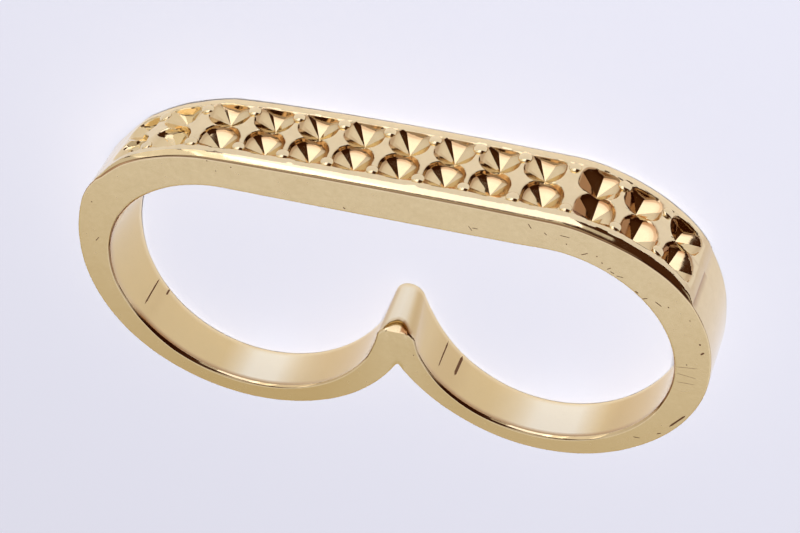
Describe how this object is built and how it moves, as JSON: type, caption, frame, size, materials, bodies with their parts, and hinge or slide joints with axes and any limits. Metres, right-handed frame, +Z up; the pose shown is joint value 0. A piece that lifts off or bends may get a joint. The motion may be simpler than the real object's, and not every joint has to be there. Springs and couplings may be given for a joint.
{
  "type": "two-finger ring",
  "caption": "Cast double ring for two neighbouring fingers: a straight bar with round corners carries a strip of faceted pits; two hoops meet in a V notch.",
  "frame": {"origin": "bottom centre of the bounding box of the ring as it lies on its flat back face", "axes": "+X along the straight bar towards the smaller finger hole, +Y from the hoops towards the bar, +Z up out of the back face, roughly along the finger holes"},
  "size_m": [0.0426, 0.0222, 0.0065],
  "materials": {
    "gold": "polished pale gold plating, lightly scratched"
  },
  "bodies": {
    "root": {"ring": "gold"}
  },
  "joints": []
}
